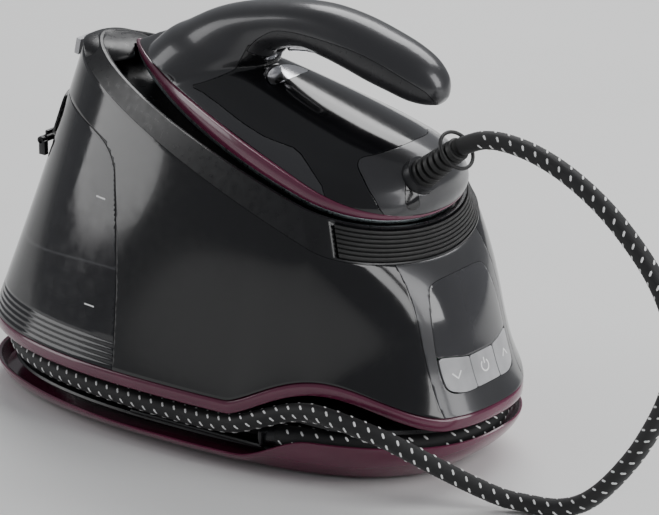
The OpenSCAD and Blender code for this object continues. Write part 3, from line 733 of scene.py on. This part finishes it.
def panel_point(up, across, out=0.0):
    c, s = math.cos(PANEL_TURN), math.sin(PANEL_TURN)
    return PANEL_AT + np.array([-up * c + out * s, -across, up * s + out * c])


KEY_W = 25.4  # pitch of the keys across the panel
PANEL_EDGE = rounded([(-10.8, 36), (6, 38.4), (40, 36.5), (60, 31.5), (63.5, 24), (63.5, 0),
                      (63.5, -24), (60, -31.5), (40, -36.5), (6, -38.4), (-10.8, -36),
                      (-10.8, 0)], 3)


def key_top(across):
    return 10.5 + 5.5 * smooth(9, 40, np.abs(across))


def in_keys(p):
    """The keys' and window's common field on the panel."""
    up, across = panel_xy(p)
    return np.minimum(poly_distance(np.stack([up, across], 1), PANEL_EDGE), p[:, 0] - 95)


def in_window(p):
    up, across = panel_xy(p)
    return np.minimum(in_keys(p) - 0.25, up - key_top(across) - 0.3)


def in_key(i):
    def field(p):
        up, across = panel_xy(p)
        low, high = (i - 0.5) * KEY_W, (i + 0.5) * KEY_W
        sides = np.minimum(across - low, high - across) - 0.3 if i == 0 else (
            across - low - 0.3 if i > 0 else high - across - 0.3)
        gap = 0.3 + 0.8 * smooth(22, 33, np.abs(across))  # room for a press where the wall turns
        return np.minimum(np.minimum(in_keys(p) - gap, key_top(across) - up - 0.3), sides)
    return field


INLET_X, INLET_Z, INLET_R = 20, 66, 7.3


def make_walls():
    black, grey = LOOKS["black_gloss"], LOOKS["grey_gloss"]
    outer = grid(body_rows())

    def inlet(p):
        off = np.hypot(p[:, 0] - INLET_X, p[:, 2] - INLET_Z) - INLET_R
        return np.where(p[:, 1] > 0, off, 50)

    walls = keep_where(make("side_walls", outer), minus(in_tank, 0.3), minus(in_panel, 0.15),
                       inlet)
    settle(soften(thicken(walls, WALL), 0.35), black, "base", ["body_shell"])
    cover = keep_where(make("front_cover", outer), within(in_panel, 0.15), minus(in_keys))
    settle(soften(thicken(cover, WALL), 0.35), grey, "base", ["front_panel"])
    window = keep_where(make("display_window", outer), in_window)
    settle(soften(thicken(window, WALL - 0.3), 0.3), LOOKS["window_gloss"], "base",
           ["control_window"])
    for i, node in ((1, "button_down"), (0, "button_power"), (-1, "button_up")):
        key = keep_where(make("key_" + node[7:], grid(body_rows(-0.3))), in_key(i))
        body = "key_" + node[7:]
        settle(soften(thicken(key, WALL), 0.5, 3), LOOKS["key_grey"], body, [node])
        key_icon(i, body, key)


def stroke(points, width, closed=False):
    """A flat ribbon round a plan line, as left and right edges."""
    p = np.asarray(points, float)
    along = np.roll(p, -1, 0) - np.roll(p, 1, 0) if closed else np.gradient(p, axis=0)
    along /= np.linalg.norm(along, axis=1, keepdims=True)
    side = np.stack([-along[:, 1], along[:, 0]], 1) * width / 2
    return p + side, p - side


def key_icon(i, body, key):
    """A plain raised sign on a key: an arrow down, a power ring or an arrow up."""
    tree = BVHTree.FromObject(key, bpy.context.evaluated_depsgraph_get())
    out = Vector(panel_point(0, 0, 1) - panel_point(0, 0, 0))
    middle = (0.5 + abs(i) * 1.2, i * (KEY_W + 0.8))
    if i:
        arm = np.linspace(-1, 1, 25)
        lines = [np.stack([-i * 2.1 + i * 4.2 * np.abs(arm), arm * 3.6], 1)]
    else:
        sweep = np.radians(np.linspace(38, 322, 49))
        lines = [np.stack([3.7 * np.cos(sweep), 3.7 * np.sin(sweep)], 1),
                 np.stack([np.linspace(1.2, 5.2, 9), np.zeros(9)], 1)]
    strokes = []
    for line in lines:
        left, right = stroke(line, 0.95)
        rows = []
        for edge, rise in ((left, -0.2), (left, 0.12), (right, 0.12), (right, -0.2)):
            row = []
            for up, across in edge:
                start = Vector(panel_point(middle[0] + up, middle[1] + across, 14)) * MM
                hit = tree.ray_cast(start, -out)[0]
                row.append(np.array(hit) / MM + np.array(out) * rise)
            rows.append(row)
        rows = np.array(rows).transpose(1, 0, 2)
        strokes.append(make("stroke", loft(rows)))
    icon = join("icon_" + body[4:], strokes)
    settle(weld(icon, 0.001), ICON_LOOK, body)


ICON_LOOK = satin_plastic("icon_white", (0.85, 0.85, 0.85), 0.4)
make_walls()


def prism(name, polygon, half):
    """A straight prism across the object over a side view."""
    p = np.asarray(polygon, float)
    rows = [np.column_stack([p[:, 0], np.full(len(p), y), p[:, 1]]) for y in (half, -half)]
    return weld(make(name, loft(rows)))


def make_tank():
    """Smoked tank with true walls, a filler hole, moulded level marks and low ribs."""
    low = 49.3
    pieces = []
    levels = np.concatenate([np.linspace(0, 0.13, 60), np.linspace(0.13, 1, 54)[1:]])
    for depth in (0, WALL):
        gap = depth + 0.25
        zone = TANK_SEAM - [gap, gap * 0.8]
        zone[:, 1] = np.maximum(zone[:, 1], low + depth)
        block = weld(make("tank_block", loft(body_rows(depth, levels, 0.0 if depth else 0.5))))
        pieces.append(boolean(block, prism("zone", zone, 140), "INTERSECT"))
    tank, hollow = pieces
    boolean(tank, hollow)
    hole = prism_round("hole", (-160, 0, 178.5), (-0.956, 0, 0.292), 13, 50)
    boolean(tank, hole)
    valve = prism_round("hole", (-120, 0, 50), (0, 0, 1), 9, 20)
    boolean(tank, valve)
    tank.name = "tank_body"
    settle(soften(tank, 0.35), LOOKS["smoked_tank"], "tank", ["water_tank"])
    level_marks(tank)
    bay_wall([(x + 1.0, z + 0.8) for x, z in TANK_SEAM[:-2]])


def level_marks(tank):
    """Plain printed lines for the highest and the lowest water level, on both sides."""
    tree = BVHTree.FromObject(tank, bpy.context.evaluated_depsgraph_get())
    marks = []
    for x, z, long in ((-70, 153, 9), (-66, 85, 9)):
        for side in (-1, 1):
            rows = []
            for px in np.linspace(x - long / 2, x + long / 2, 11):
                row = []
                for dz, rise in ((-0.45, -0.15), (-0.45, 0.06), (0.45, 0.06), (0.45, -0.15)):
                    start = Vector((px, side * 140, z + dz)) * MM
                    hit = tree.ray_cast(start, Vector((0, -side, 0)))[0]
                    row.append(np.array(hit) / MM + [0, side * rise, 0])
                rows.append(row)
            marks.append(make("mark", loft(rows)))
    settle(weld(join("level_marks", marks), 0.001), ICON_LOOK, "tank")


def bay_wall(line):
    """Dark wall of the bay behind the tank, so that the tank doesn't look into the works."""
    line = [(-38, 49.5)] + [(x, z) for x, z in line if z > 52]
    rows = []
    inner = body_rows(WALL + 0.4)
    stack = np.array(inner)
    for x, z in line:
        widths = []
        for column in range(RING // 2):
            zs, xs, ys = stack[:, column, 2], stack[:, column, 0], stack[:, column, 1]
            if zs[0] <= z <= zs[-1]:
                widths.append((np.interp(z, zs, xs), np.interp(z, zs, ys)))
        widths = np.array(sorted(widths))
        half = np.interp(x, widths[:, 0], widths[:, 1])
        rows.append([(x, y, z) for y in np.linspace(-half, half, 9)])
    wall = make("tank_bay_wall", grid(rows, closed=False))
    settle(thicken(wall, 1.2), LOOKS["black_satin"], "base")


def bar(low, high):
    """A block between two corners, to add or to cut away."""
    (x0, y0, z0), (x1, y1, z1) = low, high
    base = np.array([(x0, y0), (x1, y0), (x1, y1), (x0, y1)], float)
    return make("bar", loft([with_z(base, z0), with_z(base, z1)]))


def prism_round(name, at, axis, radius, length, sides=64):
    """A straight round bar, for cutting holes."""
    t = turn(sides)
    ring = np.stack([radius * np.cos(t), radius * np.sin(t)], 1)
    obj = make(name, loft([with_z(ring, -length / 2), with_z(ring, length / 2)]))
    way = Vector(axis).to_track_quat("Z", "X").to_matrix().to_4x4()
    obj.data.transform(Matrix.Translation(at) @ way)
    return obj


make_tank()

FLAP_AXIS = (-164, 0, 160)


def make_flap():
    """The filler's flap, which follows the tank's back, its barrel and the two hinge lugs."""
    outline = rounded([(-24, 162), (24, 162), (24, 196), (-24, 196)])
    flap = make("flap_plate", grid(body_rows(-2.4, np.linspace(0.5, 1, 70))))
    flap = keep_where(flap, lambda p: poly_distance(p[:, [1, 2]], outline),
                      lambda p: -100 - p[:, 0])
    soften(thicken(flap, 1.5), 0.5, 3)
    barrel = prism_round("barrel", FLAP_AXIS, (0, 1, 0), 2.6, 30, 48)
    web = bar((-165.4, -13, 160), (-163.2, 13, 165))
    flap = join("flap_cover", [flap, soften(barrel, 0.7, 3), soften(web, 0.5)])
    settle(flap, LOOKS["black_satin"], "flap", ["tank_flap"])
    lugs = []
    for y in (-18, 18):
        lug = prism_round("lug", (FLAP_AXIS[0], y, FLAP_AXIS[2]), (0, 1, 0), 2.6, 4, 48)
        foot = bar((-165.4, y - 2, 150), (-160, y + 2, 160))
        lugs += [soften(lug, 0.6, 3), soften(foot, 0.6, 3)]
    settle(join("flap_lugs", lugs), LOOKS["black_satin"], "base", ["flap_hinge"])


make_flap()


def bevel_point(t, f, n=0.0):
    """A point on the deck's bevel: f runs from the rim to the crest, n stands off it."""
    a, b = rim_ring(t), crest_ring(t)
    low = with_z(a, rim_at(a[:, 0]) + DECK_GAP)
    high = with_z(b, sole_at(b[:, 0], 3.5))
    off = np.stack([np.cos(t), np.sin(t), np.ones(len(t))], 1) * 0.707
    return low * (1 - f) + high * f + off * np.asarray(n)[..., None]


def make_deck():
    t = turn(RING)
    signed = np.degrees(np.where(t > np.pi, t - 2 * np.pi, t))
    recess = 2.2 * (1 - smooth(STOP_HALF - 4, STOP_HALF, np.abs(signed)))
    plug = inset(resample(rim_ring(turn(4 * RING)), RING), 5)

    def trough(d, drop):
        ring = inset(crest_ring(t), d)
        return with_z(ring, sole_at(ring[:, 0], drop))

    rows = [with_z(plug, rim_at(plug[:, 0]) - 7), with_z(plug, rim_at(plug[:, 0]) + 0.3)]
    for f in (0, 0.05, 0.06, 0.2, 0.4, 0.6, 0.8, 0.94, 0.95, 1):
        inside = 0.055 < f < 0.955
        rows.append(bevel_point(t, f, -recess * inside))
    rows += [trough(1.8, 3.3), trough(3.5, 4.2), trough(4.6, 8), trough(6, 14.2), trough(7, 15)]
    deck = make("deck_frame", loft(rows))
    settle(soften(deck, 0.6, 3, 30), LOOKS["black_satin"], "base", ["deck"])
    make_heel_stop()


def make_heel_stop():
    """Ribbed stop: round-backed ribs that follow the deck's front."""
    ribs, low, high = 7, 0.09, 0.92
    across = np.linspace(0, 1, ribs * 12 + 1)
    profile = [(low, -1.9)]
    for s in across:
        wave = abs(math.sin(math.pi * ribs * s)) ** 0.7
        profile.append((low + (high - low) * s, -0.6 + 1.7 * wave))
    profile.append((high, -1.9))
    span = np.radians(np.linspace(STOP_HALF - 4, 4 - STOP_HALF, 133))
    rows = np.array([bevel_point(span, f, n) for f, n in profile]).transpose(1, 0, 2)
    stop = make("heel_ribs", loft(rows))
    settle(weld(stop), LOOKS["rubber_black"], "base", ["heel_stop"], sharp=70)


make_deck()


def make_trim():
    """Wine-coloured band round the foot of the body."""
    low, inner = even_foot(), even_foot(-4)
    x = low[:, 0]
    rows = []
    for shrink, drop in ((1.4, TRIM_H), (0.5, TRIM_H - 1), (0.1, TRIM_H * 0.6),
                         (0, TRIM_H * 0.35), (0.1, 2.4), (0.5, 1.0), (1.3, 0.2), (2.2, 0)):
        rows.append(with_z(inset(low, shrink), trim_top(x) - drop))
    rows += [with_z(inner, trim_top(x)), with_z(inner, trim_top(x) - TRIM_H)]
    settle(make("trim_band", hoop(rows)), LOOKS["wine_plastic"], "base", ["trim_ring"])


def tray_ring(f, d, least_z=0.0):
    t = turn(RING)
    low = super_ring(177.7, 87.1, 2.52, t, -11.5)
    high = super_ring(194.5, 102.5, FOOT[2], t)
    plan = low + (high - low) * (1 - (1 - f) ** 1.6)
    z = 2.5 * (1 - f) + lip_z(high[:, 0]) * f
    return with_z(inset(plan, d), np.maximum(z, least_z))


SCREW_HOLE_R = 2.3


def make_tray():
    """The boat-shaped tray with its rolled lip and four screw holes."""
    outer = [tray_ring(f, 0) for f in np.linspace(0, 0.97, 30)]
    lip = tray_ring(1, 0.0)
    lip_rows = [lip + [0, 0, 0], tray_ring(1, 0.9) + [0, 0, 0.5], tray_ring(1, 2.0)]
    inner = [tray_ring(f, 2.6, 6) for f in np.linspace(0.97, 0.3, 24)]
    tray = make("hose_tray", loft(outer + lip_rows + inner))
    for x in (-110, 95):
        for y in (-45, 45):
            boolean(tray, prism_round("hole", (x, y, 4), (0, 0, 1), SCREW_HOLE_R, 20, 32))
    settle(tray, LOOKS["wine_plastic"], "base", ["base_tray"])


def make_core():
    """The black wall and floor of the hose's groove, with soft corners."""
    def plate(a, b, z, cx=0.0):
        return with_z(resample(super_ring(a, b, FOOT[2], turn(4 * RING), cx), RING), z)
    rows = [plate(160, 77, 6.1, -8), plate(160, 77, 14, -8), plate(178, 88.5, 14, -2),
            plate(180, 90, 15.5, -2), plate(179, 89.3, 17, -2), plate(174, 82, 17.6),
            plate(172, 80, 20), plate(172, 80, 35), plate(174, 82, 37.6), plate(189, 97, 38.2),
            plate(189, 97, 41), plate(150, 64, 41, -8), plate(150, 64, 17, -8)]
    core = make("groove_wall", loft(rows))
    room = bar((50, -111, 37), (180, -81.5, 43))
    boolean(core, room)
    settle(core, LOOKS["black_satin"], "base", ["groove_core"])


make_trim()
make_tray()
make_core()


# ---------------------------------------------------------------- iron

IRON = iron_place()
IRON_LEVELS = [[0.2, 0, 253.4, 70], [3.5, 1.5, 255, 70.5], [9, 8, 255.6, 68.5],
               [16, 16, 254, 60], [21, 22, 252.5, 50], [27, 28, 248, 38], [31, 33, 243, 28.5],
               [33.6, 38, 236, 19], [35, 45, 229, 9], [35.3, 52, 222, 2]]
HANDLE_SECTIONS = [
    [54, 12, 0, 36, 40], [62, 27, 0, 34.5, 33], [72, 37, 0, 34, 27.5],
    [80.8, 47.7, 6, 28.6, 24], [91.7, 57, 18, 22, 21.5], [108.7, 66.6, 36, 17.3, 20],
    [127.4, 74.2, 60, 15.8, 19.5], [146, 78, 86, 17, 19.5], [164.6, 79.4, 92, 17.9, 20],
    [184.2, 79.3, 95, 18.2, 20], [202, 79, 98, 17.6, 19], [217, 77.6, 100, 15.8, 17],
    [228.9, 75.2, 105, 11, 12.5], [235.6, 71.6, 112, 4, 5]]
# Side views of the iron's covers. Where two share a part, the grip has it before the heel and
# the heel before the saddle, and the collar has it before the grip and the saddle.
GRIP_ZONE = [(96, 42), (99, 52), (105.5, 61), (112, 67.5), (119, 71), (132, 75), (156, 80),
             (174, 83), (192, 83.5), (209, 82), (224, 79.5), (231, 76.5), (235, 66), (238, 56),
             (238, 42)]
HEEL_ZONE = [(248, -8), (238.4, 10), (224.5, 18.8), (205, 26), (215.5, 30.8), (222.5, 36),
             (222.5, 44), (300, 44), (300, -8)]
SADDLE_ZONE = [(73, 14), (80.5, 19), (89, 26.7), (93, 31), (95, 39), (98, 54), (300, 54),
               (300, -20), (240, -20), (206.5, 10.8), (189.7, 16), (171.3, 19.7), (158, 18.3),
               (143, 16.8), (90, 16.6)]
COLLAR_ZONE = [(103, 40), (112, 47.5), (126, 51), (126, 32), (112, 33)]
TRIGGER_SLOT = [(110, 44), (149.6, 54), (149.6, 72), (110, 70)]


def band_top(x):
    return 3 + 8 * np.maximum(0, np.sin(np.pi * np.clip(x, 0, 253) / 253)) ** 0.8


def iron_plan(d, t):
    return egg_ring(d, 192.3, 253.4 - d, 70 - d, 1.7, 2.1, t)


SKIN_VOXEL, SKIN_SMOOTHING = 1.3, 14  # grain of the grown-together surface and its fairing


def iron_body():
    """The iron's whole outer surface: lower body and handle grown together."""
    t = turn(240)
    levels = curve(IRON_LEVELS, np.linspace(0, len(IRON_LEVELS) - 1, 50))
    rows = [with_z(egg_ring(l[1], 192, l[2], l[3], 1.55, 2.1, t), l[0]) for l in levels]
    lower = weld(make("lower", loft(rows)))
    sections = curve(HANDLE_SECTIONS, np.linspace(0, len(HANDLE_SECTIONS) - 1, 130))
    rows = []
    for x, z, lean, half, width in sections:
        lean = math.radians(lean)
        ring = super_ring(max(half, 0.6), max(width, 0.6), 2.2, turn(96))
        along = np.array([math.cos(lean), 0, -math.sin(lean)])
        rows.append(np.array([x, 0, z]) + ring[:, :1] * along + ring[:, 1:] * [0, 1, 0])
    handle = weld(make("handle", loft(rows)))
    whole = boolean(lower, handle, "UNION")
    step = whole.modifiers.new("even", "REMESH")
    step.mode = "VOXEL"
    step.voxel_size = SKIN_VOXEL
    step = whole.modifiers.new("fair", "SMOOTH")
    step.factor = 0.5
    step.iterations = SKIN_SMOOTHING
    return apply_modifiers(whole)


def surface_of(obj):
    return (np.array([v.co for v in obj.data.vertices]),
            [tuple(f.vertices) for f in obj.data.polygons])


def above_band(p):
    return p[:, 2] - band_top(p[:, 0]) - 0.3


def in_trigger_slot(p):
    return np.minimum(side_view(TRIGGER_SLOT)(p), 7 - np.abs(p[:, 1]))


COVER_GAP = 0.16  # from a seam's middle to each cover


def make_iron():
    """Cuts the covers from one skin, so that they meet smoothly at their seams."""
    whole = iron_body()
    skin = surface_of(whole)
    bpy.data.objects.remove(whole)
    grip, saddle = side_view(rounded(GRIP_ZONE)), side_view(rounded(SADDLE_ZONE, 1))
    heel, collar = side_view(rounded(HEEL_ZONE, 3)), side_view(rounded(COLLAR_ZONE))

    def cut(name, slot, nodes, *fields):
        piece = keep_where(make(name, skin), *fields)
        piece = soften(thicken(piece, WALL - 0.2), 0.3)
        settle(piece, LOOKS[slot], "iron", nodes, IRON)

    gap = COVER_GAP
    cut("upper_shell", "grey_gloss", ["iron_shell"], above_band,
        minus(saddle, gap), minus(heel, gap), minus(grip, gap), minus(in_trigger_slot))
    cut("saddle", "black_gloss", ["saddle_cover"], above_band,
        within(saddle, gap), minus(heel, gap), minus(grip, gap), minus(collar, gap),
        minus(in_trigger_slot))
    cut("lower_grip", "dark_grip", ["handle_grip"], within(grip, gap),
        minus(collar, gap), minus(in_trigger_slot))
    cut("grip_collar_cover", "bright_chrome", ["grip_collar"], within(collar, gap),
        minus(in_trigger_slot))
    cut("heel", "grey_gloss", ["heel_cover"], above_band, within(heel, gap),
        minus(grip, gap), off_boss, minus(in_inlay, 0.1))
    cut("heel_inlay", "black_gloss", [], above_band, within(heel, gap), off_boss,
        in_inlay)
    make_trigger()


INLAY = [(-25.5, 25), (-29, 23), (-33, 17), (-34.5, 12), (-32, 8), (-27, 8), (-24, 11),
         (-25, 17)]


def in_inlay(p):
    """The dark keyhole inlay beside the hose's boss, seen from the heel."""
    return np.minimum(poly_distance(p[:, [1, 2]], rounded(INLAY)), p[:, 0] - 228)


def make_trigger():
    """Bright rounded trigger bar along the handle's underside."""
    spine = [(115.6, 50.6), (117.6, 53), (123, 56.4), (130, 59.4), (137, 61.7), (142, 63),
             (143.6, 63.4)]
    half = [(0.4, 1.5), (2.3, 5.0), (2.8, 6.2), (2.9, 6.3), (2.6, 6.2), (1.7, 5.2), (0.4, 1.5)]
    u = np.linspace(0, len(spine) - 1, 60)
    line, size = curve(spine, u), curve(half, u)
    along = np.gradient(line, axis=0)
    along /= np.linalg.norm(along, axis=1, keepdims=True)
    rows = []
    for (x, z), (ax, az), (thick, wide) in zip(line, along, size):
        ring = super_ring(max(thick, 0.3), max(wide, 0.5), 2.6, turn(40))
        rows.append(np.array([x, 0, z]) + ring[:, :1] * [-az, 0, ax] + ring[:, 1:] * [0, 1, 0])
    settle(weld(make("trigger_bar", loft(rows))), LOOKS["bright_chrome"], "trigger", ["trigger"],
           IRON)


BOSS_HOLE_R = 12.2
BOOT_AT = Vector((144, -17, 195))
BOOT_DIR = Vector((0.78, -0.1, 0.62)).normalized()


def off_boss(p):
    """Distance outside the round boss that the hose's boot stands on, in the iron's frame."""
    back = IRON.inverted()
    at, way = np.array(back @ BOOT_AT), np.array(back.to_3x3() @ BOOT_DIR)
    d = p - at
    return np.linalg.norm(d - np.outer(d @ way, way), axis=1) - BOSS_HOLE_R


make_iron()


def make_band():
    """Wine-coloured band round the foot of the iron, crowned in section."""
    t = turn(RING)
    ring = iron_plan(0, t)
    h = band_top(ring[:, 0])
    rows = []
    for out, z in ((-1.2, 0.1), (-0.3, 0.15), (0.3, 0.14 * h), (0.8, 0.35 * h), (0.9, 0.55 * h),
                   (0.5, 0.82 * h), (0.1, 0.97 * h), (-0.6, h), (-3, h), (-3, 0.1 + 0 * h)):
        rows.append(with_z(inset(ring, -out), z))
    settle(weld(make("iron_trim", hoop(rows)), 0.002), LOOKS["wine_plastic"], "iron",
           ["iron_band"], IRON)


def make_sole():
    """The soleplate, with two rows of steam vents."""
    t = turn(RING)

    def ring(d, z):
        return with_z(iron_plan(d, t), z)

    rows = [ring(2.6, -3.5), ring(1.7, -3.1), ring(1.3, -2.4), ring(1.2, -0.1)]
    sole = make("sole_plate", loft(rows))
    vents = []
    for x in range(40, 209, 24):
        for side in (-1, 1):
            vents.append(prism_round("vent", (x, side * min(44, 8 + x * 0.17), -2), (0, 0, 1),
                                     1.5, 12, 24))
    boolean(sole, join("vents", vents))
    settle(sole, LOOKS["sole_metal"], "iron", ["soleplate"], IRON)


HOOD_X, HOOD_Z = -114, 228.4  # middle and foot of the hood


def make_hood():
    """Dome over the iron's tip, trimmed to the deck's outline."""
    t = turn(96)
    rows = []
    for a in np.radians(np.linspace(0, 88, 40)):
        r, h = math.cos(a) ** 0.55, math.sin(a) ** 1.2
        ring = super_ring(24 * r, 28 * r, 2.4, t, HOOD_X)
        rows.append(with_z(ring, HOOD_Z + (9.5 - 0.09 * (ring[:, 0] - HOOD_X)) * h))
    hood = weld(make("nose_hood", loft(rows)))
    plan = inset(rim_ring(turn(200)), 0.6)
    boolean(hood, make("zone", loft([with_z(plan, 200), with_z(plan, 260)])), "INTERSECT")
    tip = make("tip", loft([with_z(iron_plan(-2, turn(200)), z) for z in (-20, 40)]))
    tip.data.transform(IRON)
    boolean(hood, tip)
    settle(soften(hood, 0.8, 3), LOOKS["black_satin"], "base", ["nose_cradle"])


make_band()
make_sole()
make_hood()


# ---------------------------------------------------------------- carried-over CAD nodes

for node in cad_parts.values():
    if node.hide_render:
        continue
    slot = node.data.materials[0].name.split(".")[0]
    node.data.materials[0] = LOOKS[slot]
